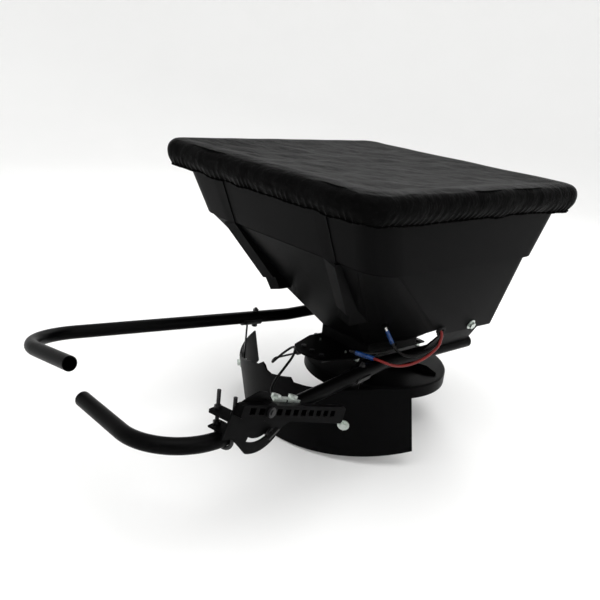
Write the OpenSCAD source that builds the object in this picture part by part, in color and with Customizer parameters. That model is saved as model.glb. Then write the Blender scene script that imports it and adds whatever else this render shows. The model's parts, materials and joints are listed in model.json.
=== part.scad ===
// Broadcast spreader carried on two bent tubes behind a small vehicle.
// Origin: where the spinner's axis crosses the plane of the two tubes.
// +Z up, -Y towards the vehicle, +X the side that carries the flow lever.

/* [Tubes] */
// Outside diameter of the carrying tubes
tube_od = 25.4; // [25:0.1:26]
// Wall thickness of the tubes
tube_wall = 1.6; // [1.2:0.1:2.5]
// Half distance between the parallel rear runs
rail_x = 145; // [144:0.5:146]
// Angle by which each tube splays outward towards the vehicle
splay = 11.25; // [11:0.05:11.5]
// Angle through which the front end of each tube turns inward
leg_turn = 102; // [95:1:105]
// Length of the inward leg, from the corner to the open end
leg_length = 245; // [200:5:250]

/* [Hopper] */
// Half width of the hopper's rim
rim_half = 277; // [276:1:278]
// Height of the rim above the tubes
rim_z = 352; // [350:1:353]
// Height of the step below the upper band
step_z = 218; // [214:1:222]
// Wall thickness of the hopper
hopper_wall = 4; // [3:0.5:5]
// Height of the hopper's lower edge
sill_z = 57; // [56:0.5:58]

/* [Cover] */
// Half width of the fabric cover
cover_half = 285; // [284:1:288]
// Height of the top of the cover
cover_z = 358; // [358:0.5:360]
// Depth of the cover's skirt
skirt = 45; // [40:1:50]

/* [Spinner] */
// Radius of the spinner disc
spinner_r = 153; // [140:1:155]
// Depth of the spinner's turned-down rim
spinner_rim = 26; // [20:1:30]
// Height of the disc's top face
spinner_z = -72; // [-76:1:-70]
// Number of throwing vanes
vanes = 4; // [3:1:6]
// Radius of the drive shaft
shaft_r = 6; // [5:0.5:7]

/* [Gate] */
// Width of the outlet
port_w = 56; // [50:1:58]
// Length of the outlet along the gate's travel
port_l = 34; // [30:1:36]

/* [Deflector] */
// Radius of the curved deflector sheet
deflector_r = 264.6; // [263:0.1:266]
// Thickness of the sheet
sheet = 4; // [3:0.5:5]
// Lean of the sheet, its lower edge towards the rear
lean = 13.5; // [13:0.1:14]

/* [Flow control] */
// Length of the lever beyond its pivot
lever_reach = 217; // [210:1:220]
// Radius of the arc slot for the stop
slot_r = 50; // [49:0.5:51]
// Outer radius of the quadrant
quad_r = 71; // [70:0.5:73]

/* [Hidden] */

$fn = 64;
tube_r = tube_od / 2;
rail_y = -141.5;            // corner where each tube starts to splay
rail_rear = 254.5;          // from that corner to the rear end
rail_bend = 90;             // radius of the rear bend
leg_bend = 95;              // radius of the front bend
near_run = 554;             // corner to corner along the near tube
far_run = 567;              // corner to corner along the far tube
near_roll = 182.3;          // the near tube is turned a little in its clamps
far_roll = 169.5;           // and so is the far one
step_x = 260;               // upper band, half width at the step
step_y = 227;
band_y = -95.5;             // middle of the rim
step_mid_y = -86;           // middle of the band at the step
cover_r = 48;
lower_top = step_z - 5;
sill = [[196, 124], [192, -45], [90, -165]];    // half outline of the lower edge
draft = 0.348;              // outward slope of the lower side walls
lip = 42;                   // depth of the lip below the floor at each side
lip_bolt = 12;              // bolt and grommet height above the sill
neck_x = 69;
neck_front = -108;
neck_rear = 50;
plate_z = -22;              // upper face of the base plate
plate_t = 3;
port_front = -100;
gate_t = 2;
gate_z = plate_z - plate_t - gate_t - 0.3;
wire_x = -20;
wire_z = gate_z - 2.6;
deflector_y = -50.8;
wall_ang = -53;             // where each hanger is bolted, measured from +X
bolt_h = -51;               // height of those bolts along the sheet's axis
pivot_run = 384.5;          // lever pivot, along the near tube from its rear corner
pivot_z = 39;
quad_off = 21.5;            // inner face of the quadrant, out from the tube's middle
quad_t = 3;
lever_t = 14;
lever_drop = 19.4;          // slope of the lever at rest
ubolt_run = 437;
ubolt_half = 16;
ubolt_r = 3;
hanger_run = 76;            // hanger bolt, along each tube from its rear corner
corner_n = 8;               // facets in each rounded corner of the hopper
cord_r = 1.5;
lead_r = 2.7;

// Routes: the cable from its anchor to the clamp, and the two leads.
cable_route = [[-20, -264, -29.9], [-19.5, -270, -30], [-15, -279, -31], [-3, -290, -28],
               [14, -297, -14], [36, -299, 8], [60, -302, 28], [88, -320, 40], [120, -352, 44],
               [148, -392, 43], [172, -431, 38], [188, -452, 32], [200, -457.1, 28.9],
               [207.5, -455.6, 28.7], [227.4, -451.6, 28.7]];
red_route = [[191, -59, 74], [201, -59, 71], [206, -60, 67], [209, -63, 58], [208, -68, 42],
             [198, -83, 21], [185, -103, 6], [178, -127, 3], [174, -150, 7], [168, -170, 15],
             [159, -177.8, 17.8], [153, -180, 18]];
black_route = [[190.6, -53, 72.4], [200.4, -53, 69], [204, -54, 63], [203, -60, 50], [196, -72, 33],
               [187, -88, 22], [177, -102, 17], [166, -114, 19], [157, -123, 26],
               [151.8, -128, 33.9], [149.5, -130, 39]];
motor_route = [[118, -193, 19.5], [112, -195.2, 19.8], [103, -192, 17], [96, -176, 9], [91, -146, 0],
               [88, -112, -8], [86, -75, -13], [80, -38, -15], [70, -24, -15], [60, -20, -15],
               [50, -16.6, -15], [42, -13.9, -14.5], [36.4, -12, -9], [33.8, -11.1, -1],
               [31.5, -10.4, 6], [28.5, -9.3, 10.5], [25, -8.2, 12]];
black_tip = [139, -139, 62];
stud_tip = [136.25, -141.35, 68];

// ---- helpers ----

module rounded(w, d, r) {
    square([w - 2 * r, d], center = true);
    square([w, d - 2 * r], center = true);
    for (x = [-1, 1], y = [-1, 1])
        translate([x * (w / 2 - r), y * (d / 2 - r)]) circle(r);
}

module both() {
    children();
    mirror([1, 0, 0]) children();
}

// Frame of the near tube's splayed run: y = 0 at its rear corner, -y along the tube
module on_run() {
    translate([rail_x, rail_y, 0]) rotate([0, 0, splay]) children();
}

// Frame of the deflector sheet: z along its axis
module on_sheet() {
    translate([0, deflector_y, 0]) rotate([lean, 0, 0]) children();
}

module hex(af, h) {
    cylinder(r = af / sqrt(3), h = h, $fn = 6);
}

function unit(v) = v / norm(v);
function smooth_point(p, i, t) =
    let (a = p[max(i - 1, 0)], b = p[i], c = p[i + 1], d = p[min(i + 2, len(p) - 1)])
    0.5 * ((2 * b) + (c - a) * t + (2 * a - 5 * b + 4 * c - d) * t * t
           + (3 * b - a - 3 * c + d) * t * t * t);
function smooth(p, n) =
    [for (i = [0 : len(p) - 2], k = [0 : n - 1]) smooth_point(p, i, k / n), p[len(p) - 1]];

// A round cord of radius r along a route, as one closed polyhedron
module cord(route, r, n = 3, sides = 8) {
    c = smooth(route, n);
    last = len(c) - 1;
    ring = [for (i = [0 : last])
        let (t = unit(c[min(i + 1, last)] - c[max(i - 1, 0)]),
             u = unit(cross(t, abs(t[2]) > 0.9 ? [1, 0, 0] : [0, 0, 1])),
             v = cross(t, u))
        for (k = [0 : sides - 1])
            c[i] + r * (cos(360 * k / sides) * u + sin(360 * k / sides) * v)];
    walls = [for (i = [0 : last - 1], k = [0 : sides - 1])
        let (a = i * sides + k, b = i * sides + (k + 1) % sides)
        each [[a, b, b + sides], [a, b + sides, a + sides]]];
    ends = [[for (k = [sides - 1 : -1 : 0]) k],
            [for (k = [0 : sides - 1]) last * sides + k]];
    polyhedron(points = ring, faces = concat(walls, ends), convexity = 6);
}

// ---- carrying frame ----

// One bent tube as a solid of radius r; "past" lengthens both open ends.
// The bends are drawn a hair thinner and the straight runs lap over them.
module rail_solid(run, roll, r, past) {
    rear_t = rail_bend * tan(splay / 2);
    leg_t = leg_bend * tan(leg_turn / 2);
    lap = 1;
    neck = 0.05;
    translate([rail_x, rail_y, 0]) {
        translate([0, rear_t - lap, 0])
            rotate([-90, 0, 0]) cylinder(r = r, h = rail_rear - rear_t + lap + past);
        translate([rail_bend, rear_t, 0]) rotate([0, 0, 180])
            rotate_extrude(angle = splay) translate([rail_bend, 0]) circle(r - neck);
        rotate([0, 0, splay]) {
            translate([0, lap - rear_t, 0])
                rotate([90, 0, 0]) cylinder(r = r, h = run - leg_t - rear_t + 2 * lap);
            translate([0, -run, 0]) rotate([0, -roll, 0]) {
                translate([leg_bend, leg_t, 0]) rotate([0, 0, 180])
                    rotate_extrude(angle = leg_turn) translate([leg_bend, 0]) circle(r - neck);
                rotate([0, 0, leg_turn]) translate([0, lap - leg_t, 0])
                    rotate([90, 0, 0]) cylinder(r = r, h = leg_length - leg_t + lap + past);
            }
        }
    }
}

module rail(run, roll) {
    difference() {
        rail_solid(run, roll, tube_r, 0);
        rail_solid(run, roll, tube_r - tube_wall, 1);
        on_run() translate([0, -hanger_run, -20]) cylinder(r = 3.3, h = 40);
    }
}

module rail_near() color([0.07, 0.07, 0.07]) rail(near_run, near_roll);

module rail_far() color([0.07, 0.07, 0.07]) mirror([1, 0, 0]) rail(far_run, far_roll);

// Plastic plugs in the rear ends
module rail_plugs() color([0.1, 0.1, 0.1]) both()
    translate([rail_x, rail_y + rail_rear, 0]) rotate([-90, 0, 0]) {
        translate([0, 0, -14]) cylinder(r = tube_r - tube_wall, h = 14);
        cylinder(r = tube_r, h = 2);
    }

// Bent plate: up inside the hopper's lip, then down to the outside of the tube
module side_bracket() {
    t = 3;
    bend = [sill[0][0] - hopper_wall - 0.4, sill_z];
    top = bend + 24 * [draft, 1];
    difference() {
        intersection() {
            rotate([90, 0, 0]) linear_extrude(240, center = true)
                polygon([[rail_x + 6, 6], bend, top, top - [t, 0], bend + [-t, 1], [rail_x + 3, 9]]);
            linear_extrude(100) polygon([[130, -40], [200, -40], [200, 70], [150, 103], [130, 103]]);
        }
        translate([rail_x, 0, 0]) rotate([90, 0, 0])
            cylinder(r = tube_r + 0.02, h = 300, center = true);
        on_lip(37) cylinder(r = 3.3, h = 40, center = true);
    }
}

// A place on the outside of the hopper's lip, z pointing out of it
module on_lip(y) {
    translate([sill[0][0] + draft * lip_bolt, y, sill_z + lip_bolt])
        rotate([0, 90 + atan(draft), 0]) children();
}

module side_bracket_near() color([0.14, 0.14, 0.14]) side_bracket();

module side_bracket_far() color([0.14, 0.14, 0.14]) mirror([1, 0, 0]) side_bracket();

// ---- hopper ----

// Half outlines at a height, from the middle of the rear to the middle of the front
function arc(x, y, r, a0, a1, z) =
    [for (i = [0 : corner_n]) let (a = a0 + (a1 - a0) * i / corner_n)
        [x + r * cos(a), y + r * sin(a), z]];
function line(p, q) = [for (i = [0 : corner_n]) p + (q - p) * i / corner_n];
function round_half(x, y0, y1, r, z) =
    concat(arc(x - r, y1 - r, r, 90, 0, z), arc(x - r, y0 + r, r, 0, -90, z));
function sill_half() =
    concat(arc(sill[0][0] - 18, sill[0][1] - 18, 18, 90, 0, sill_z),
           line([each sill[1], sill_z], [each sill[2], sill_z]));
function floor_half() =
    let (k = hopper_wall, x = draft * lip)
    concat([for (i = [0 : corner_n]) let (a = 90 - 90 * i / corner_n)
               [sill[0][0] + x - k - 14 + 14 * cos(a), sill[0][1] - k - 14 + 14 * sin(a),
                sill_z + 3 + (lip - 3) * i / corner_n]],
           line([sill[1][0] + x - k, sill[1][1] - 6, sill_z + lip],
                [sill[2][0] - 1, sill[2][1] + k, sill_z + 2]));

// The hopper's outlines from the outlet up, outside and inside
function hopper_levels(k, over) =
    let (up = 0.75 * k, lx = step_x - 10 - k, bx = step_x - k, rx = rim_half - k,
         l0 = step_mid_y - step_y + 9 + k, l1 = step_mid_y + step_y - 9 - k)
    [round_half(neck_x - k, neck_front + k, neck_rear - k, 8 - k, plate_z - over),
     round_half(neck_x - k, neck_front + k, neck_rear - k, 8 - k, up),
     k > 0 ? floor_half() : sill_half(),
     round_half(lx, l0, l1, 52 - k, lower_top),
     round_half(lx, l0, l1, 52 - k, step_z + up),
     round_half(bx, l0 - 9, l1 + 9, 60 - k, step_z + up),
     round_half(rx, band_y - rim_half + k, band_y + rim_half - k, 48 - k, rim_z + over)];

// A closed solid through a stack of outlines
module loft(levels) {
    n = 2 * len(levels[0]);
    rings = [for (h = levels)
        each concat(h, [for (i = [len(h) - 1 : -1 : 0]) [-h[i][0], h[i][1], h[i][2]]])];
    walls = [for (i = [0 : len(levels) - 2], j = [0 : n - 1])
        let (a = i * n + j, b = i * n + (j + 1) % n)
        each [[a, b, b + n], [a, b + n, a + n]]];
    ends = [[for (j = [n - 1 : -1 : 0]) j], [for (j = [0 : n - 1]) (len(levels) - 1) * n + j]];
    polyhedron(points = rings, faces = concat(walls, ends), convexity = 8);
}

// Front of the upper band at height z
function band_front(z) =
    let (low = step_mid_y - step_y, high = band_y - rim_half)
    low + (high - low) * (z - step_z) / (rim_z - step_z);

// Raised rib down the sloping front, leaning in towards the neck
module front_rib() {
    translate([142, band_front(step_z) - 2, 213]) rotate([0, 17.6, 0])
        translate([-15.5, 0, 0]) rotate([90, 0, 90]) linear_extrude(31)
            polygon([[0, 5], [0, 0], [80, -113], [86, -113], [96, -139], [150, -139], [60, 0], [30, 5]]);
}

// Shallow relief that carries the line of each rib up the band
module band_rib() {
    z0 = step_z - 2;
    z1 = rim_z - 10;
    translate([142 - 15.5, 0, 0]) rotate([90, 0, 90]) linear_extrude(31)
        polygon([[band_front(z0) - 2, z0], [band_front(z1) - 2, z1], [band_front(z1) + 2, z1],
                 [band_front(z0) + 2, z0]]);
}

// Hollow under the raised floor, behind the lip that the brackets and leads use
module lip_pocket() {
    in = sill[0][0] - hopper_wall;
    translate([0, 98, 0]) rotate([90, 0, 0]) linear_extrude(164)
        polygon([[in - 0.7, sill_z - 2], [in + draft * (lip - 6), sill_z + lip - 6.5],
                 [neck_x + 12, 8], [neck_x + 12, -1], [in - 60, -1]]);
}

// Small boss under the near corner, where the black lead is screwed down
module lead_boss() {
    translate([134.1, -139.5, 71.4]) rotate([0, 139.8, -40.4])
        translate([0, 0, -2]) cylinder(r = 7, h = 6.6);
}

module hopper() color([0.13, 0.13, 0.13]) difference() {
    union() {
        loft(hopper_levels(0, 0));
        both() {
            front_rib();
            band_rib();
        }
        lead_boss();
    }
    loft(hopper_levels(hopper_wall, 1));
    both() {
        lip_pocket();
        on_lip(37) cylinder(r = 3.3, h = 20, center = true);
    }
    on_lip(-56) cylinder(r = 8, h = 24, center = true);
    translate([neck_x - 12, -21.8, -15]) rotate([0, 90, 0]) cylinder(r = lead_r + 1.8, h = 20);
}

module hopper_bolts() color([0.7, 0.72, 0.7]) both() on_lip(37) {
    translate([0, 0, -19]) cylinder(r = 3, h = 20);
    cylinder(r = 10.5, h = 1.6);
    translate([0, 0, 1.6]) hex(13, 5.5);
    translate([0, 0, -13.2]) hex(13, 5.5);
}

// ---- cover ----

module cover() color([0.2, 0.2, 0.2]) translate([0, band_y, 0]) difference() {
    translate([0, 0, cover_z - skirt]) linear_extrude(skirt)
        rounded(2 * cover_half, 2 * cover_half, cover_r);
    translate([0, 0, cover_z - skirt - 1]) linear_extrude(skirt - 2)
        rounded(2 * cover_half - 8, 2 * cover_half - 8, cover_r - 4);
}

module cover_elastic() color([0.08, 0.08, 0.08]) translate([0, band_y, cover_z - skirt - 4])
    linear_extrude(4) difference() {
        rounded(2 * cover_half, 2 * cover_half, cover_r);
        rounded(2 * cover_half - 8, 2 * cover_half - 8, cover_r - 4);
    }

// ---- base plate and drive ----

plate_spots = [[-27, -191], [0, -192], [27, -191], [-61, -126], [61, -126], [-60, 62], [60, 62]];

// Outline of the plate, its front edge bowed
function plate_outline() =
    concat([[-69, 74], [-69, -138]],
           [for (i = [-5 : 5]) [9 * i, -218 + 0.72 * i * i]],
           [[69, -138], [69, 74]]);

module base_plate() color([0.17, 0.17, 0.17]) difference() {
    translate([0, 0, plate_z - plate_t]) linear_extrude(plate_t) polygon(plate_outline());
    translate([-port_w / 2, port_front, plate_z - plate_t - 1]) cube([port_w, port_l, plate_t + 2]);
    translate([0, 0, plate_z - plate_t - 1]) cylinder(r = 11, h = plate_t + 2);
    for (s = plate_spots) translate([s[0], s[1], plate_z - 10]) cylinder(r = 3.2, h = 20);
    for (x = [-38, 38], y = [-135, -95]) translate([x, y, plate_z - 10]) cylinder(r = 2.2, h = 20);
    for (a = [45 : 90 : 315]) rotate(a) translate([25, 0, plate_z - 10]) cylinder(r = 2.2, h = 20);
}

module plate_bolts() color([0.2, 0.2, 0.2])
    for (s = plate_spots) translate([s[0], s[1], plate_z]) {
        translate([0, 0, -13]) cylinder(r = 3, h = 13);
        cylinder(r = 5.2, h = 3.4);
    }

module plate_nuts() color([0.7, 0.72, 0.7])
    for (s = plate_spots) translate([s[0], s[1], plate_z - plate_t - 6.5]) difference() {
        union() {
            hex(10, 5);
            translate([0, 0, 5]) cylinder(r = 7, h = 1.5);
        }
        translate([0, 0, -1]) cylinder(r = 3, h = 10);
    }

module gearbox() color([0.3, 0.3, 0.32]) translate([0, 0, plate_z]) difference() {
    cylinder(r = 31, h = 22);
    translate([0, 0, -1]) cylinder(r = shaft_r + 0.05, h = 16);
    for (a = [45 : 90 : 315]) rotate(a) translate([25, 0, -1]) cylinder(r = 2, h = 11);
}

module motor() color([0.2, 0.2, 0.22]) translate([0, 0, plate_z + 22]) {
    cylinder(r = 26, h = 62);
    translate([0, 0, 62]) cylinder(r = 8, h = 5);
}

// Cover over the motor, inside the hopper
module motor_dome() color([0.12, 0.12, 0.12]) translate([0, 0, plate_z]) difference() {
    cylinder(r1 = 45, r2 = 34, h = 100);
    translate([0, 0, -0.01]) cylinder(r1 = 42, r2 = 31, h = 97);
    rotate(-18.4) translate([36, -5, -1]) cube([20, 10, 19]);
}

module motor_screws() color([0.6, 0.6, 0.6])
    for (a = [45 : 90 : 315]) rotate(a) translate([25, 0, plate_z - plate_t]) {
        cylinder(r = 1.9, h = 12);
        translate([0, 0, -2.5]) cylinder(r = 4, h = 2.5);
    }

module shaft_bush() color([0.7, 0.55, 0.3]) translate([0, 0, plate_z - plate_t - 4]) difference() {
    union() {
        cylinder(r = 15, h = 4);
        cylinder(r = 11, h = 4 + plate_t);
    }
    translate([0, 0, -1]) cylinder(r = shaft_r + 0.05, h = 20);
}

module drive_shaft() color([0.7, 0.7, 0.7])
    translate([0, 0, spinner_z - 22]) cylinder(r = shaft_r, h = -spinner_z + 22 + plate_z + 14);

module spinner() color([0.15, 0.15, 0.15]) translate([0, 0, spinner_z]) difference() {
    union() {
        rotate_extrude() polygon([[0, 0], [spinner_r - 5, 0], [spinner_r - 2, -1],
            [spinner_r, -4], [spinner_r, -spinner_rim], [spinner_r - 3, -spinner_rim],
            [spinner_r - 3, -6], [spinner_r - 6, -3], [0, -3]]);
        translate([0, 0, -14]) cylinder(r = 18, h = 22);
        for (i = [0 : vanes - 1]) rotate(20 + i * 360 / vanes)
            translate([22, -1.5, -0.5]) vane();
    }
    translate([0, 0, -20]) cylinder(r = shaft_r, h = 40);
}

// Upright throwing vane, low at its outer end
module vane() {
    rotate([90, 0, 0]) translate([0, 0, -3])
        linear_extrude(3) polygon([[0, 0], [118, 0], [118, 6], [96, 16], [8, 16], [0, 8]]);
}

module spinner_nut() color([0.7, 0.72, 0.7]) translate([0, 0, spinner_z - 21]) difference() {
    union() {
        hex(19, 5);
        translate([0, 0, 5]) cylinder(r = 13, h = 2);
    }
    translate([0, 0, -1]) cylinder(r = shaft_r, h = 10);
}

// ---- gate ----

module gate() color([0.5, 0.5, 0.5]) {
    translate([-33, port_front - 34, gate_z]) cube([66, 34 + port_l + 8, gate_t]);
    translate([wire_x - 5, port_front - 34, gate_z - 6]) cube([10, 3, 6]);
}

module gate_guides() color([0.3, 0.3, 0.3]) both() difference() {
    union() {
        translate([33.4, -204, gate_z - 0.3]) cube([9.6, 144, gate_t + 0.6]);
        translate([29, -204, gate_z - 2.3]) cube([14, 144, 2]);
    }
    for (y = [-135, -95]) translate([38, y, gate_z - 10]) cylinder(r = 2.2, h = 20);
    translate([27, -191, gate_z - 10]) cylinder(r = 7, h = 20);
}

module guide_screws() color([0.6, 0.6, 0.6])
    for (x = [-38, 38], y = [-135, -95]) translate([x, y, gate_z - 2.3]) {
        translate([0, 0, -2.2]) cylinder(r = 4, h = 2.2);
        cylinder(r = 1.9, h = plate_z - gate_z + 6);
    }

// Stiff wire from the gate into the tube of the anchor
module gate_wire() color([0.6, 0.6, 0.6])
    translate([wire_x, port_front - 34, wire_z]) rotate([90, 0, 0]) cylinder(r = 0.8, h = 78);

module cable_anchor() color([0.45, 0.45, 0.45]) translate([wire_x, 0, wire_z]) difference() {
    union() {
        translate([0, -203, 0]) rotate([90, 0, 0]) cylinder(r = 2, h = 61);
        translate([-4, -216, -3]) cube([8, 10, plate_z - plate_t - wire_z + 3]);
    }
    translate([0, -202, 0]) rotate([90, 0, 0]) cylinder(r = 0.85, h = 60);
}

module control_cable() color([0.06, 0.06, 0.06]) cord(cable_route, cord_r);

// ---- flow control on the near tube ----

// Frame of the lever's pivot: z out of the quadrant, y up, x towards the hopper
module on_pivot() {
    on_run() translate([0, -pivot_run, pivot_z]) rotate([90, 0, 90]) children();
}

// Outline of the plate, its lower edge an arc about the pivot
function quad_outline() =
    concat([[-84, -22], [-62, 21], [-40, 26], [-9, 30], [10, 23], [25.8, 1], [99.4, -24.9],
            [92.2, -45.2], [74, -46]],
           [for (a = [-44 : -6 : -116]) quad_r * [cos(a), sin(a)]],
           [[-48, -44], [-62, -29]]);

// Slot of half width w about the pivot between two angles
function slot_outline(a0, a1, w) =
    concat([for (i = [0 : 12]) (slot_r + w) * [cos(a0 + (a1 - a0) * i / 12), sin(a0 + (a1 - a0) * i / 12)]],
           [for (i = [12 : -1 : 0]) (slot_r - w) * [cos(a0 + (a1 - a0) * i / 12), sin(a0 + (a1 - a0) * i / 12)]]);

module quadrant() color([0.16, 0.16, 0.16]) on_pivot() difference() {
    union() {
        translate([0, 0, quad_off]) linear_extrude(quad_t) polygon(quad_outline());
        // Flange over the tube, level with the top of the lever, for the cable clamp
        rotate(-lever_drop) translate([26, 6.5, 5]) cube([74, 3, quad_off - 4]);
        // Flange on top of the tube for the U-bolt
        translate([pivot_run - ubolt_run - 13, tube_r + 0.1 - pivot_z, -21])
            cube([26, 3, 22 + quad_off]);
    }
    translate([0, 0, quad_off - 1]) linear_extrude(quad_t + 2) polygon(slot_outline(-126, -58, 3.5));
    translate([0, 0, quad_off - 1]) cylinder(r = 4.05, h = quad_t + 2);
    clamp_spots() cylinder(r = 2.6, h = 30, center = true);
    for (z = [-ubolt_half, ubolt_half]) translate([pivot_run - ubolt_run, 0, z])
        rotate([90, 0, 0]) cylinder(r = ubolt_r + 0.2, h = 40);
}

// Places of the clamp's two screws, z pointing up out of the flange
module clamp_spots() {
    rotate(-lever_drop) for (x = [41, 87]) translate([x, 9.5, 13]) rotate([-90, 0, 0]) children();
}

module flow_lever() color([0.13, 0.13, 0.13]) on_pivot() rotate(-lever_drop)
    translate([0, 0, quad_off + quad_t + 1]) difference() {
        union() {
            linear_extrude(lever_t)
                polygon([[-66, -10], [-66, 7], [-60, 9], [lever_reach - 6, 12], [lever_reach, 9],
                         [lever_reach, -14], [lever_reach - 4, -17], [-60, -12]]);
            cylinder(r = 15, h = lever_t);
        }
        for (i = [-2, -1, 1, 2, 3, 4, 5, 6, 7, 8]) translate([-5 + i * 22, -5, 4])
            cube([13, 10, lever_t]);
        translate([0, 0, -1]) cylinder(r = 4.05, h = lever_t + 2);
    }

module lever_pivot() color([0.6, 0.6, 0.6]) on_pivot() {
    translate([0, 0, quad_off - 3]) cylinder(r = 7, h = 3);
    translate([0, 0, quad_off]) cylinder(r = 4, h = quad_t + 1 + lever_t + 6);
    translate([0, 0, quad_off + quad_t + lever_t + 1.3]) cylinder(r = 8, h = 4);
}

// Stop bolt that slides round the arc slot, with its wing knob on the outer face
module rate_stop() color([0.65, 0.66, 0.65]) on_pivot() rotate(-66) translate([slot_r, 0, 0]) {
    translate([0, 0, quad_off - 4.3]) cylinder(r = 6.5, h = 4);
    translate([0, 0, quad_off - 1]) cylinder(r = 3, h = quad_t + 8);
    translate([0, 0, quad_off + quad_t + 0.3]) cylinder(r = 6.5, h = 4);
    translate([-1.5, -12, quad_off + quad_t + 4]) cube([3, 24, 7]);
}

// Saddle on the flange, the cable passing under its middle between two screws
module cable_clamp() color([0.7, 0.72, 0.7]) on_pivot() difference() {
    rotate(-lever_drop) translate([28, 9.5, 6]) cube([72, 4.6, 14]);
    clamp_spots() cylinder(r = 2.6, h = 30, center = true);
    rotate(-lever_drop) translate([64, 11.6, 0]) cylinder(r = cord_r + 0.1, h = 30);
    rotate(-lever_drop) translate([64 - cord_r - 0.1, 9, 0]) cube([2 * cord_r + 0.2, 2.6, 30]);
}

module clamp_screws() color([0.72, 0.74, 0.72]) on_pivot() clamp_spots() {
    translate([0, 0, -7]) cylinder(r = 2.4, h = 13);
    translate([0, 0, 4.6]) hex(13, 5.5);
}

module u_bolt() color([0.62, 0.62, 0.6]) on_run() translate([0, -ubolt_run, 0]) {
    for (x = [-ubolt_half, ubolt_half]) translate([x, 0, 0]) cylinder(r = ubolt_r, h = 70);
    rotate([90, 0, 0]) rotate([0, 0, 180]) rotate_extrude(angle = 180)
        translate([ubolt_half, 0]) circle(ubolt_r);
}

module u_bolt_bridge() color([0.1, 0.1, 0.1]) on_run()
    translate([0, -ubolt_run, tube_r + 22]) difference() {
        translate([-23, -11, 0]) cube([43.9, 22, 6]);
        for (x = [-ubolt_half, ubolt_half]) translate([x, 0, -1]) cylinder(r = ubolt_r + 0.2, h = 20);
    }

module u_bolt_nuts() color([0.12, 0.12, 0.12]) on_run()
    for (x = [-ubolt_half, ubolt_half], z = [3.2, 28.1]) translate([x, -ubolt_run, tube_r + z])
        difference() {
            rotate(30) hex(10, 5);
            translate([0, 0, -1]) cylinder(r = ubolt_r, h = 8);
        }

// ---- deflector ----

// Front outline of the sheet: x across, height along the sheet's axis
function sheet_top() = [[246, 10], [239, 17], [209, 27], [159, 25], [99, 21], [73, 22], [68, 32],
                        [46, 27], [19, 22], [8, 26], [4, 36], [-2, 40], [-8, 36], [-21, 27],
                        [-50, 20], [-90, 2], [-127, -15], [-159, -30], [-238, -45], [-246, -45]];

module deflector() color([0.2, 0.2, 0.2]) difference() {
    on_sheet() intersection() {
        translate([0, 0, -123]) rotate([0, 0, -154.5]) rotate_extrude(angle = 129, $fn = 180)
            translate([deflector_r - sheet, 0]) square([sheet, 180]);
        rotate([90, 0, 0]) linear_extrude(300)
            polygon(concat(sheet_top(), [[-246, -140], [246, -140]]));
    }
    // Notch that lets the near tube through
    on_run() rotate([90, 0, 0]) {
        cylinder(r = 15.5, h = 220);
        translate([-15.5, 0, 0]) cube([31, 60, 220]);
    }
    both() sheet_bolt_place() cylinder(r = 3.3, h = 60, center = true);
}

// Place of the bolt through the sheet, z pointing out of it from its inner face
module sheet_bolt_place() {
    on_sheet() rotate([0, 0, wall_ang]) translate([deflector_r - sheet, 0, bolt_h])
        rotate([0, 90, 0]) children();
}

// Strap down from a saddle under the tube to the inside of the sheet
module hanger() {
    foot = [157.3, -242.0, -98];
    difference() {
        union() {
            on_run() translate([0, -hanger_run - 11, 0]) rotate([90, 0, 0])
                translate([0, 0, -21]) linear_extrude(42) difference() {
                    circle(tube_r + 3);
                    circle(tube_r + 0.05);
                    translate([-20, -1]) square([40, 30]);
                }
            sheet_bolt_place() translate([0, 0, -4]) linear_extrude(3)
                polygon([[-14, -18], [-14, 18], [14, 18], [20, 10], [20, -10], [14, -18]]);
            translate(foot) rotate([0, 0, wall_ang]) translate([-4.7, -18, 10])
                cube([3, 36, 80]);
        }
        on_run() rotate([90, 0, 0]) cylinder(r = tube_r + 0.05, h = 300);
        on_run() translate([0, -hanger_run, -40]) cylinder(r = 3.3, h = 60);
        sheet_bolt_place() cylinder(r = 3.3, h = 60, center = true);
    }
}

module hanger_near() color([0.3, 0.3, 0.3]) hanger();

module hanger_far() color([0.3, 0.3, 0.3]) mirror([1, 0, 0]) hanger();

module hanger_bolts() color([0.15, 0.15, 0.15]) both()
    on_run() translate([0, -hanger_run, 0]) {
        translate([0, 0, -tube_r - 8]) cylinder(r = 3, h = 2 * tube_r + 16);
        translate([0, 0, -tube_r - 8]) hex(10, 5);
        translate([0, 0, tube_r + 0.1]) hex(10, 5);
    }

module deflector_bolts() color([0.7, 0.72, 0.7]) both() sheet_bolt_place() {
    translate([0, 0, -12]) cylinder(r = 3, h = 22);
    translate([0, 0, sheet]) cylinder(r = 11, h = 1.6);
    translate([0, 0, sheet + 1.6]) hex(13, 5.5);
    translate([0, 0, -9]) hex(13, 5);
}

// ---- leads ----

module grommet() color([0.05, 0.05, 0.05]) on_lip(-56) difference() {
    union() {
        translate([0, 0, -5]) cylinder(r = 8, h = 5);
        cylinder(r = 10.5, h = 2.5);
    }
    translate([0, 0, -6]) cylinder(r = 6.4, h = 20);
}

module red_lead() color([0.65, 0.08, 0.07]) cord(red_route, lead_r);

module black_lead() color([0.12, 0.11, 0.11]) cord(black_route, lead_r);

module motor_lead() color([0.06, 0.06, 0.06]) cord(motor_route, lead_r);

// Sleeve along a short straight line
module sleeve(a, b, r) {
    d = b - a;
    translate(a) rotate([0, acos(d[2] / norm(d)), atan2(d[1], d[0])]) cylinder(r = r, h = norm(d));
}

module red_crimp() color([0.06, 0.25, 0.6])
    sleeve(red_route[len(red_route) - 1], motor_route[0], 4.4);

module black_crimp() color([0.06, 0.25, 0.6])
    sleeve(black_route[len(black_route) - 1], black_tip, 4);

// Bright tab from the crimp to the boss on the hopper
module terminal() color([0.75, 0.75, 0.73]) sleeve(black_tip, stud_tip, 3);

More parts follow.
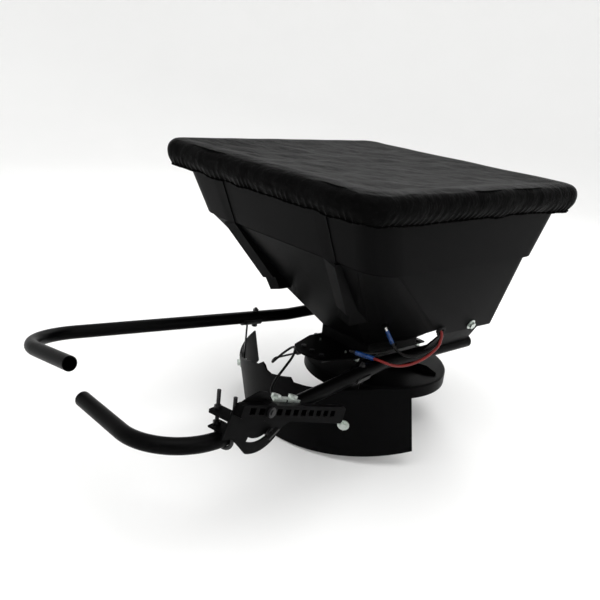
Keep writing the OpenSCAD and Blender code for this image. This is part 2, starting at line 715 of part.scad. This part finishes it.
rail_near();
rail_far();
rail_plugs();
side_bracket_near();
side_bracket_far();
hopper();
hopper_bolts();
cover();
cover_elastic();
base_plate();
plate_bolts();
plate_nuts();
gearbox();
motor();
motor_dome();
motor_screws();
shaft_bush();
drive_shaft();
spinner();
spinner_nut();
gate();
gate_guides();
guide_screws();
gate_wire();
cable_anchor();
control_cable();
cable_clamp();
clamp_screws();
quadrant();
flow_lever();
lever_pivot();
rate_stop();
u_bolt();
u_bolt_nuts();
u_bolt_bridge();
deflector();
hanger_near();
hanger_far();
hanger_bolts();
deflector_bolts();
grommet();
red_lead();
red_crimp();
black_lead();
black_crimp();
terminal();
motor_lead();
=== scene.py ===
"""Looks of a covered broadcast spreader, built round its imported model."""

import json
import math

import bpy
import numpy as np
from mathutils import Matrix, Vector, noise


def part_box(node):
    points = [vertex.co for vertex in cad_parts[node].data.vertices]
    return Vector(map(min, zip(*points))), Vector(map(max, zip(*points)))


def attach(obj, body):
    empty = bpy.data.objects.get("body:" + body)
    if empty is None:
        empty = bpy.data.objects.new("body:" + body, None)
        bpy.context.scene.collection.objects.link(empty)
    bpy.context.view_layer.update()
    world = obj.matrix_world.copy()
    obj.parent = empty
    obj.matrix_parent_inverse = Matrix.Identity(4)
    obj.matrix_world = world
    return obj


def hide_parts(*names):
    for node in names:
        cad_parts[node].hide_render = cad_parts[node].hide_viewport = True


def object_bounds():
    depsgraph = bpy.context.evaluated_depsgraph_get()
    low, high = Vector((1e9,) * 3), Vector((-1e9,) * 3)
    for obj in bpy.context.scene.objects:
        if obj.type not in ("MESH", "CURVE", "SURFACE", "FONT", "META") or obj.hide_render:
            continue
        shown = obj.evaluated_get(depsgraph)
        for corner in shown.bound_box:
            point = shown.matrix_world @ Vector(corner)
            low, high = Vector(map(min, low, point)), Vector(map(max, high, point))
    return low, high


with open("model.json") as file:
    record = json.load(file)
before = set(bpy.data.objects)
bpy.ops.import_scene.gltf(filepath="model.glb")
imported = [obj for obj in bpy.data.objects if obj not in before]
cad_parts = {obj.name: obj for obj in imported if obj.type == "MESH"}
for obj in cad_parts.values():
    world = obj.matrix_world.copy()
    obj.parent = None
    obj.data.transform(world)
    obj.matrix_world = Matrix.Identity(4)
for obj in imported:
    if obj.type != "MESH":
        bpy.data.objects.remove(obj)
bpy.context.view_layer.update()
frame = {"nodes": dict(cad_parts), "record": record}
nodes = frame["nodes"]
MM = 0.001


# ---- camera ----

def add_camera():
    """A camera in front of the lever side, above the hopper's rim and tipped over slightly."""
    turn = Vector((1.70843, 0.86745, -0.4866))
    right, down, forward = Matrix.Rotation(turn.length, 3, turn)
    data = bpy.data.cameras.new("camera")
    data.sensor_width = 36.0
    data.lens = 44.43
    data.dof.use_dof = False
    camera = bpy.data.objects.new("camera", data)
    camera.matrix_world = Matrix.Translation((0.98954, -1.14958, 0.531)) @ Matrix(
        (right, -down, -forward)).transposed().to_4x4()
    bpy.context.scene.collection.objects.link(camera)
    bpy.context.scene.camera = camera


# ---- shader maths ----

class Value:
    """A socket of a finish, used in plain arithmetic."""

    def __init__(self, finish, socket):
        self.finish = finish
        self.socket = socket

    def math(self, operation, first, second):
        return self.finish.node(
            "ShaderNodeMath", {"operation": operation}, {0: first, 1: second})["Value"]

    def __add__(self, other):
        return self.math("ADD", self, other)

    def __sub__(self, other):
        return self.math("SUBTRACT", self, other)

    def __rsub__(self, other):
        return self.math("SUBTRACT", other, self)

    def __mul__(self, other):
        return self.math("MULTIPLY", self, other)

    __radd__ = __add__
    __rmul__ = __mul__


class Outputs:
    """The outputs of a shader node, by name or number."""

    def __init__(self, finish, made):
        self.finish = finish
        self.made = made

    def __getitem__(self, key):
        return Value(self.finish, self.made.outputs[key])


class Finish:
    """A surface finish under construction."""

    def __init__(self, name):
        self.material = bpy.data.materials.new(name)
        self.material.use_nodes = True
        self.tree = self.material.node_tree
        self.tree.nodes.clear()
        self.place = self.node("ShaderNodeTexCoord")["Object"]

    def node(self, kind, settings=None, inputs=None):
        made = self.tree.nodes.new(kind)
        for key, value in (settings or {}).items():
            setattr(made, key, value)
        for key, value in (inputs or {}).items():
            if isinstance(value, Value):
                self.tree.links.new(value.socket, made.inputs[key])
            else:
                made.inputs[key].default_value = value
        return Outputs(self, made)

    def stretched(self, x, y, z):
        return self.node(
            "ShaderNodeVectorMath", {"operation": "MULTIPLY"},
            {0: self.place, 1: (x, y, z)})["Vector"]

    def noise(self, scale, detail=2.0, rough=0.5, place=None):
        return self.node("ShaderNodeTexNoise", None, {
            "Vector": place or self.place, "Scale": scale, "Detail": detail,
            "Roughness": rough})["Fac"]

    def cells(self, scale):
        return self.node("ShaderNodeTexVoronoi", {"feature": "F1"}, {
            "Vector": self.place, "Scale": scale})["Distance"]

    def threads(self, scale, axis):
        return self.node(
            "ShaderNodeTexWave", {"wave_type": "BANDS", "bands_direction": axis},
            {"Vector": self.place, "Scale": scale})["Fac"]

    def step(self, value, low, high):
        return self.node("ShaderNodeMapRange", {"interpolation_type": "SMOOTHSTEP"}, {
            "Value": value, "From Min": low, "From Max": high})["Result"]

    def blend(self, factor, first, second):
        first, second = (
            c if isinstance(c, Value) else (*c, 1.0) for c in (first, second))
        return self.node("ShaderNodeMix", {"data_type": "RGBA"}, {
            0: factor, 6: first, 7: second})[2]

    def relief(self, height, depth, under=None):
        inputs = {"Height": height, "Distance": depth, "Strength": 1.0}
        if under is not None:
            inputs["Normal"] = under
        return self.node("ShaderNodeBump", None, inputs)["Normal"]

    def surface(self, inputs):
        shader = self.node("ShaderNodeBsdfPrincipled", None, inputs)
        self.node("ShaderNodeOutputMaterial", None, {"Surface": shader["BSDF"]})
        return self.material


def times(colour, k):
    return tuple(min(c * k, 1.0) for c in colour)


# ---- finishes ----

def coated_steel(name, colour, rough, gloss):
    """Baked powder coat: orange-peel relief, faint dust and rubbed patches."""
    f = Finish(name)
    patches = f.noise(9.0, 4.0, 0.6)
    dusty = f.step(f.noise(60.0, 6.0, 0.7), 0.52, 0.75)
    base = f.blend(f.step(patches, 0.35, 0.7), colour, times(colour, 1.35))
    base = f.blend(dusty * 0.5, base, times(colour, 2.4))
    peel = f.noise(900.0, 2.0, 0.5)
    fine = f.noise(3600.0, 1.0, 0.5)
    return f.surface({
        "Base Color": base,
        "Roughness": rough + (patches - 0.5) * 0.16 + dusty * 0.08,
        "Specular IOR Level": gloss,
        "Normal": f.relief(peel * 0.8 + fine * 0.2, 0.00006)})


def moulded(name, colour, rough, grain=700.0, depth=0.00008, gloss=0.25):
    """Moulded plastic with a fine spark-eroded grain and faint flow marks."""
    f = Finish(name)
    flow = f.noise(6.0, 3.0, 0.55, f.stretched(1.0, 1.0, 0.35))
    scuffs = f.step(f.noise(45.0, 7.0, 0.72), 0.56, 0.74)
    base = f.blend(f.step(flow, 0.3, 0.72), colour, times(colour, 1.3))
    base = f.blend(scuffs * 0.4, base, times(colour, 1.9))
    pits = f.cells(grain)
    return f.surface({
        "Base Color": base,
        "Roughness": rough + (flow - 0.5) * 0.12 + scuffs * 0.08,
        "Specular IOR Level": gloss,
        "Normal": f.relief(pits + f.noise(grain * 2.0, 2.0, 0.6) * 0.5, depth)})


def plated(name, colour, rough, spangle=260.0):
    """Bright plating: crystal spangle, faint drawn lines and dull spots."""
    f = Finish(name)
    dull = f.step(f.noise(140.0, 5.0, 0.65), 0.5, 0.72)
    crystals = f.cells(spangle)
    drawn = f.noise(300.0, 2.0, 0.5, f.stretched(1.0, 1.0, 14.0))
    base = f.blend(dull, colour, times(colour, 0.62))
    return f.surface({
        "Base Color": base,
        "Metallic": 1.0 - dull * 0.3,
        "Roughness": rough + dull * 0.22 + (crystals - 0.4) * 0.12,
        "Normal": f.relief(drawn * 0.5 + crystals * 0.5, 0.00005)})


def coated_cloth(name, colour, rough):
    """Coated nylon: plain weave under a film, creases and a soft bloom."""
    f = Finish(name)
    weave = f.threads(260.0, "X") * 0.5 + f.threads(260.0, "Y") * 0.5
    rubbed = f.noise(26.0, 5.0, 0.62, f.stretched(1.0, 0.45, 1.0))
    bloom = f.step(rubbed, 0.42, 0.7)
    creases = f.step(f.noise(34.0, 6.0, 0.6, f.stretched(0.7, 1.3, 1.0)), 0.3, 0.75)
    base = f.blend(bloom, colour, times(colour, 1.7))
    return f.surface({
        "Base Color": base,
        "Roughness": rough + (rubbed - 0.5) * 0.3,
        "Specular IOR Level": 0.012,
        "Normal": f.relief(weave, 0.00005, f.relief(creases, 0.0016))})


def sheathing(name, colour, rough=0.34, gloss=0.4):
    """Extruded sheathing with faint draw rings and handling marks."""
    f = Finish(name)
    smudge = f.noise(90.0, 4.0, 0.6)
    base = f.blend(f.step(smudge, 0.35, 0.7), times(colour, 0.8), times(colour, 1.25))
    return f.surface({
        "Base Color": base,
        "Roughness": rough + (smudge - 0.5) * 0.25,
        "Specular IOR Level": gloss,
        "Normal": f.relief(f.noise(1400.0, 2.0, 0.5), 0.00003)})


def soft_rubber(name, colour):
    """Matt rubber, a little chalky."""
    f = Finish(name)
    chalk = f.step(f.noise(210.0, 6.0, 0.7), 0.45, 0.75)
    return f.surface({
        "Base Color": f.blend(chalk, colour, times(colour, 2.2)),
        "Roughness": 0.72 + chalk * 0.15,
        "Specular IOR Level": 0.2,
        "Normal": f.relief(f.noise(1500.0, 3.0, 0.6), 0.00006)})


def make_finishes():
    """One finish for each material slot of the record."""
    black = (0.0011, 0.0011, 0.0012)
    return {
        "black_tube": coated_steel("tube_coat", (0.0006, 0.0006, 0.00065), 0.34, 0.035),
        "black_plug": moulded("plug_plastic", black, 0.5),
        "black_steel": coated_steel("sheet_steel_coat", black, 0.42, 0.025),
        "hopper_plastic": moulded(
            "hopper_plastic", (0.0022, 0.0022, 0.0023), 0.48, 420.0, 0.0001, 0.025),
        "zinc": plated("zinc_plate", (0.52, 0.57, 0.53), 0.3),
        "cover_cloth": coated_cloth("cover_nylon", (0.0012, 0.0012, 0.0012), 0.42),
        "hem_elastic": coated_cloth("hem_nylon", (0.001, 0.001, 0.001), 0.6),
        "black_screw": coated_steel("black_oxide", (0.004, 0.004, 0.0044), 0.34, 0.25),
        "gear_housing": plated("die_casting", (0.3, 0.3, 0.31), 0.5, 500.0),
        "motor_can": coated_steel("motor_enamel", (0.012, 0.012, 0.014), 0.35, 0.4),
        "inner_plastic": moulded("dome_plastic", black, 0.5),
        "bronze_bush": plated("sintered_bronze", (0.5, 0.3, 0.12), 0.42, 900.0),
        "shaft_steel": plated("ground_steel", (0.5, 0.5, 0.5), 0.25, 700.0),
        "spinner_plastic": moulded(
            "spinner_plastic", (0.0012, 0.0012, 0.0013), 0.38, 900.0, 0.00004, 0.025),
        "gate_steel": plated("rolled_steel", (0.45, 0.45, 0.46), 0.34, 600.0),
        "guide_plastic": moulded("guide_plastic", black, 0.5),
        "wire_steel": plated("spring_wire", (0.45, 0.45, 0.45), 0.3, 900.0),
        "anchor_steel": coated_steel("anchor_plate", (0.012, 0.012, 0.0125), 0.4, 0.3),
        "cable_sheath": sheathing("cable_sheath", (0.0012, 0.0012, 0.0012), 0.42, 0.05),
        "lever_plastic": moulded(
            "lever_nylon", (0.0008, 0.0008, 0.0009), 0.42, 800.0, 0.00005, 0.02),
        "stop_steel": coated_steel("stop_steel", (0.008, 0.008, 0.008), 0.4, 0.3),
        "deflector_steel": coated_steel("deflector_coat", (0.0012, 0.0012, 0.0013), 0.38, 0.02),
        "hanger_steel": coated_steel("hanger_coat", (0.004, 0.004, 0.0042), 0.4, 0.15),
        "grommet_rubber": soft_rubber("grommet_rubber", (0.006, 0.006, 0.006)),
        "red_sheath": sheathing("red_sheath", (0.15, 0.009, 0.008), 0.34, 0.25),
        "black_sheath": sheathing("black_sheath", (0.005, 0.0048, 0.0046), 0.36, 0.12),
        "blue_crimp": sheathing("blue_sleeve", (0.0028, 0.03, 0.125), 0.26, 0.4),
        "tinned": plated("tinned_copper", (0.66, 0.66, 0.64), 0.25, 900.0),
    }


# ---- mesh helpers ----

def add_mesh(name, points, faces, finish):
    mesh = bpy.data.meshes.new(name)
    mesh.from_pydata([tuple(p) for p in points], [], [tuple(f) for f in faces])
    mesh.polygons.foreach_set("use_smooth", [True] * len(mesh.polygons))
    mesh.materials.append(finish)
    mesh.update()
    made = bpy.data.objects.new(name, mesh)
    bpy.context.scene.collection.objects.link(made)
    return made


def band_faces(rings, around, closed=False, turned=False):
    """Faces of a mesh of rings with the same number of points round each, turned over if asked."""
    faces = []
    for i in range(rings if closed else rings - 1):
        low, high = i * around, (i + 1) % rings * around
        for k in range(around):
            n = (k + 1) % around
            face = (low + k, low + n, high + n, high + k)
            faces.append(face[::-1] if turned else face)
    return faces


def smooth_route(route, steps):
    """A smooth curve through a route's points, given in millimetres."""
    p = [Vector(q) * MM for q in route]
    last = len(p) - 1
    curve = []
    for i in range(last):
        a, b, c, d = p[max(i - 1, 0)], p[i], p[i + 1], p[min(i + 2, last)]
        for k in range(steps):
            t = k / steps
            curve.append(0.5 * (2 * b + (c - a) * t + (2 * a - 5 * b + 4 * c - d) * t * t
                                + (3 * b - a - 3 * c + d) * t ** 3))
    return curve + [p[-1]]


def round_cord(name, route, radius, finish, sides=14, steps=8):
    """A round cord along a route, closed at both ends."""
    curve = smooth_route(route, steps)
    last = len(curve) - 1
    tangents = [(curve[min(i + 1, last)] - curve[max(i - 1, 0)]).normalized()
                for i in range(last + 1)]
    side = tangents[0].orthogonal().normalized()
    points = []
    for centre, along in zip(curve, tangents):
        side = (side - along * side.dot(along)).normalized()
        up = along.cross(side)
        for k in range(sides):
            a = 2 * math.pi * k / sides
            points.append(centre + radius * MM * (math.cos(a) * side + math.sin(a) * up))
    faces = band_faces(last + 1, sides)
    faces.append(tuple(range(sides - 1, -1, -1)))
    faces.append(tuple(last * sides + k for k in range(sides)))
    return add_mesh(name, points, faces, finish)


# ---- cords ----

CABLE = [[-20, -264, -29.9], [-19.5, -270, -30], [-15, -279, -31], [-3, -290, -28],
         [14, -297, -14], [36, -299, 8], [60, -302, 28], [88, -320, 40], [120, -352, 44],
         [148, -392, 43], [172, -431, 38], [188, -452, 32], [200, -457.1, 28.9],
         [207.5, -455.6, 28.7], [227.4, -451.6, 28.7]]
RED = [[191, -59, 74], [201, -59, 71], [206, -60, 67], [209, -63, 58], [208, -68, 42],
       [198, -83, 21], [185, -103, 6], [178, -127, 3], [174, -150, 7], [168, -170, 15],
       [159, -177.8, 17.8], [153, -180, 18]]
BLACK = [[190.6, -53, 72.4], [200.4, -53, 69], [204, -54, 63], [203, -60, 50], [196, -72, 33],
         [187, -88, 22], [177, -102, 17], [166, -114, 19], [157, -123, 26],
         [151.8, -128, 33.9], [149.5, -130, 39]]
MOTOR = [[118, -193, 19.5], [112, -195.2, 19.8], [103, -192, 17], [96, -176, 9], [91, -146, 0],
         [88, -112, -8], [86, -75, -13], [80, -38, -15], [70, -24, -15], [60, -20, -15],
         [50, -16.6, -15], [42, -13.9, -14.5], [36.4, -12, -9], [33.8, -11.1, -1],
         [31.5, -10.4, 6], [28.5, -9.3, 10.5], [25, -8.2, 12]]
SHEATH_R = 2.2
LEAD_R = 2.7


def add_cords(finishes):
    """The control cable and the leads, all held along their whole way."""
    for node, route, radius, slot in (
            ("control_cable", CABLE, SHEATH_R, "cable_sheath"),
            ("red_lead", RED, LEAD_R, "red_sheath"),
            ("black_lead", BLACK, LEAD_R, "black_sheath"),
            ("motor_lead", MOTOR, LEAD_R, "black_sheath")):
        made = round_cord(node + "_round", route, radius, finishes[slot])
        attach(made, "frame")
        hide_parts(node)


# ---- cover ----

AROUND = 1200           # points round the cover
PUCKERS = 150           # gathers round its hem
TOP_RINGS = 46
SKIRT_STEPS = 5
CORNER = 38 * MM        # radius of the cover's corners in plan
HEM_DEPTH = 51 * MM
HEM_SIDES = 8
SLACK = 7.0 * MM        # sag of the top in its middle


def wander(x, y, seed):
    return noise.noise(Vector((x, y, seed)))


def edge_line():
    """Points round the cover's outer line, evenly spaced, with the way out at each."""
    low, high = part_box("cover")
    half = (high[0] - low[0]) / 2
    flat = 2 * (half - CORNER)
    turn = math.pi / 2 * CORNER
    line = []
    for i in range(AROUND):
        s = i / AROUND * 4 * (flat + turn)
        side = int(s // (flat + turn))
        s -= side * (flat + turn)
        if s < flat:
            p, out = Vector((half, s - flat / 2)), 0.0
        else:
            out = (s - flat) / CORNER
            p = Vector((half - CORNER, half - CORNER)) + CORNER * Vector(
                (math.cos(out), math.sin(out)))
        swing = Matrix.Rotation(side * math.pi / 2, 2)
        line.append((swing @ p, swing @ Vector((math.cos(out), math.sin(out)))))
    middle = Vector(((low[0] + high[0]) / 2, (low[1] + high[1]) / 2))
    return line, middle, high[2]


# The skirt from the edge of the top over the roll to the hem: (in from the outer line, down)
SKIRT = [(34, 1.2), (24, 0.4), (13, 0.8), (3, 3.0), (-4.4, 8.5), (-8, 16), (-8.6, 25), (-6.4, 35),
         (0, 44), (7.2, 51.4)]


def skirt_profile():
    steps = smooth_route([(d, z, 0) for d, z in SKIRT], SKIRT_STEPS)
    return [(p.x, p.y) for p in steps]


def pucker(i, down):
    """Gather of the hem at a place round it: 0 in a valley, 1 on a fold."""
    s = i / AROUND
    a = 2 * math.pi * s
    drift = 3.2 * wander(5 * math.cos(a), 5 * math.sin(a), 3.1)
    lean = 1.1 * down
    wave = math.sin(2 * math.pi * (PUCKERS * s) + drift * 2.0 + lean * 2.2)
    size = 0.62 + 0.55 * wander(17 * math.cos(a), 17 * math.sin(a), 8.7)
    return (0.5 + 0.5 * wave) ** 1.6 * max(size, 0.12)


def hem_place(p, out, i, down, inward):
    """A point of the skirt, pushed out by the gathers, and its height below the top."""
    s = 2 * math.pi * i / AROUND
    full = max(0.0, min(1.0, (down - 0.027) / 0.024))
    gather = pucker(i, down * 22) * 6.5 * MM * full ** 1.5
    billow = 2.6 * MM * wander(6 * math.cos(s) + down * 9, 6 * math.sin(s), 1.7)
    billow += 1.5 * MM * wander(22 * math.cos(s), 22 * math.sin(s) + down * 30, 5.2)
    swell = math.sin(math.pi * max(0.0, min(1.0, down / HEM_DEPTH)))
    sink = down + full * (3.5 * MM * wander(9 * math.cos(s), 9 * math.sin(s), 4.4)
                          - 2.6 * MM * pucker(i, down * 22))
    xy = p + out * (-inward + gather + billow * swell * 0.6)
    return xy, sink


def add_cover(finishes):
    """The gathered cover: a slack wrinkled top, a puffed edge and a skirt drawn in by elastic."""
    line, middle, top = edge_line()
    profile = skirt_profile()
    first = profile[0][0]
    points = [Vector((middle.x, middle.y, 0))]
    for ring in range(1, TOP_RINGS + 1):
        t = ring / TOP_RINGS
        for p, out in line:
            xy = (p - out * first) * t
            points.append(Vector((xy.x + middle.x, xy.y + middle.y, 0)))
    half = line[0][0].x
    for q in points:
        x, y = q.x - middle.x, q.y - middle.y
        out = min(1.0, max(abs(x), abs(y)) / (half - first))
        slack = (1 - out ** 3) ** 0.8
        near = min(1.0, (1 - out) * 9)
        fold = 2.4 * wander((x + y) * 9, (x - y) * 22, 0.3)
        fold += 1.5 * wander(x * 30, y * 16, 6.6) + 0.8 * wander(x * 60 + y * 30, y * 60, 9.1)
        q.z = top - profile[0][1] - SLACK * slack - (0.9 - fold) * near * MM
    rings = TOP_RINGS
    for inward, down in profile[1:]:
        for i, (p, out) in enumerate(line):
            s = 2 * math.pi * i / AROUND
            crest = 1.0 + 0.5 * wander(4 * math.cos(s), 4 * math.sin(s), 2.2)
            near = inward if down > 0.003 else first - (first - inward) * max(crest, 0.4)
            xy, sink = hem_place(p, out, i, down, near)
            points.append(Vector((xy.x + middle.x, xy.y + middle.y, top - sink)))
        rings += 1
    faces = [(0, 1 + k, 1 + (k + 1) % AROUND) for k in range(AROUND)]
    faces += [tuple(v + 1 for v in f) for f in band_faces(rings, AROUND, turned=True)]
    cover = add_mesh("cover_sheet", points, faces, finishes["cover_cloth"])
    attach(cover, "cover_body")
    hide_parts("cover")

    inward, down = profile[-1]
    tube = []
    for i, (p, out) in enumerate(line):
        xy, sink = hem_place(p, out, i, down, inward - 0.8 * MM)
        thick = (1.5 + 0.5 * pucker(i, down * 22)) * MM
        for k in range(HEM_SIDES):
            a = 2 * math.pi * k / HEM_SIDES
            at = xy + out * thick * math.cos(a)
            tube.append(Vector((at.x + middle.x, at.y + middle.y,
                                top - sink + thick * math.sin(a))))
    hem = add_mesh(
        "cover_hem", tube, band_faces(AROUND, HEM_SIDES, closed=True, turned=True),
        finishes["hem_elastic"])
    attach(hem, "cover_body")
    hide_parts("cover_elastic")


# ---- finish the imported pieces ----

CREASE = 32             # degrees between two faces that still make a crisp edge
HOPPER_CREASE = 27      # less on the hopper, whose panels meet at shallow angles


def dress_nodes(finishes):
    """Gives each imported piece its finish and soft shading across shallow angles."""
    slots = {p["node"]: p["material_slot"] for p in frame["record"]["subparts"]}
    for name, piece in nodes.items():
        mesh = piece.data
        mesh.materials.clear()
        mesh.materials.append(finishes[slots[name]])
        mesh.polygons.foreach_set("use_smooth", [True] * len(mesh.polygons))
        custom = mesh.attributes.get("custom_normal")
        if custom is not None:
            mesh.attributes.remove(custom)
        weld = piece.modifiers.new("weld", "WELD")
        weld.merge_threshold = 0.02 * MM
        crease = HOPPER_CREASE if name == "hopper" else CREASE
        split = piece.modifiers.new("crisp_edges", "EDGE_SPLIT")
        split.split_angle = math.radians(crease)
        split.use_edge_sharp = False


# ---- studio ----

def add_studio():
    """A pale floor that sweeps up all round, a soft key light above and two low fills."""
    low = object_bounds()[0][2] - 0.002
    f = Finish("floor_paint")
    mottle = f.noise(3.0, 3.0, 0.5)
    paint = f.surface({
        "Base Color": f.blend(mottle, (0.88, 0.88, 0.875), (0.9, 0.9, 0.895)),
        "Roughness": 0.85,
        "Specular IOR Level": 0.1})
    radius, sweep, around = 3.2, 1.8, 96
    profile = [(r, 0.0) for r in (0.02, 0.5, 1.0, 2.0, radius)]
    profile += [(radius + sweep * math.sin(a), sweep * (1 - math.cos(a)))
                for a in np.linspace(0.1, math.pi / 2, 14)]
    profile.append((radius + sweep, 3.6))
    points = [(r * math.cos(2 * math.pi * k / around), r * math.sin(2 * math.pi * k / around),
               low + h) for r, h in profile for k in range(around)]
    faces = band_faces(len(profile), around, turned=True) + [tuple(range(around))]
    add_mesh("floor", points, faces, paint)

    world = bpy.data.worlds.new("studio")
    world.use_nodes = True
    background = world.node_tree.nodes["Background"]
    background.inputs["Color"].default_value = (1.0, 1.0, 1.0, 1.0)
    background.inputs["Strength"].default_value = 0.9
    bpy.context.scene.world = world
    bpy.context.scene.view_settings.view_transform = "Standard"
    for name, place, size, power in (
            ("key", (0.7, -0.9, 2.6), 2.2, 44.0),
            ("back", (-1.2, 1.6, 2.2), 1.8, 30.0),
            ("fill", (2.2, -0.4, 1.0), 1.2, 8.0)):
        data = bpy.data.lights.new(name, "AREA")
        data.size = size
        data.energy = power
        lamp = bpy.data.objects.new(name, data)
        lamp.location = place
        aim = Vector((0.0, -0.1, 0.1)) - lamp.location
        lamp.rotation_euler = aim.to_track_quat("-Z", "Y").to_euler()
        bpy.context.scene.collection.objects.link(lamp)


add_camera()
finishes = make_finishes()
dress_nodes(finishes)
add_cords(finishes)
add_cover(finishes)
add_studio()
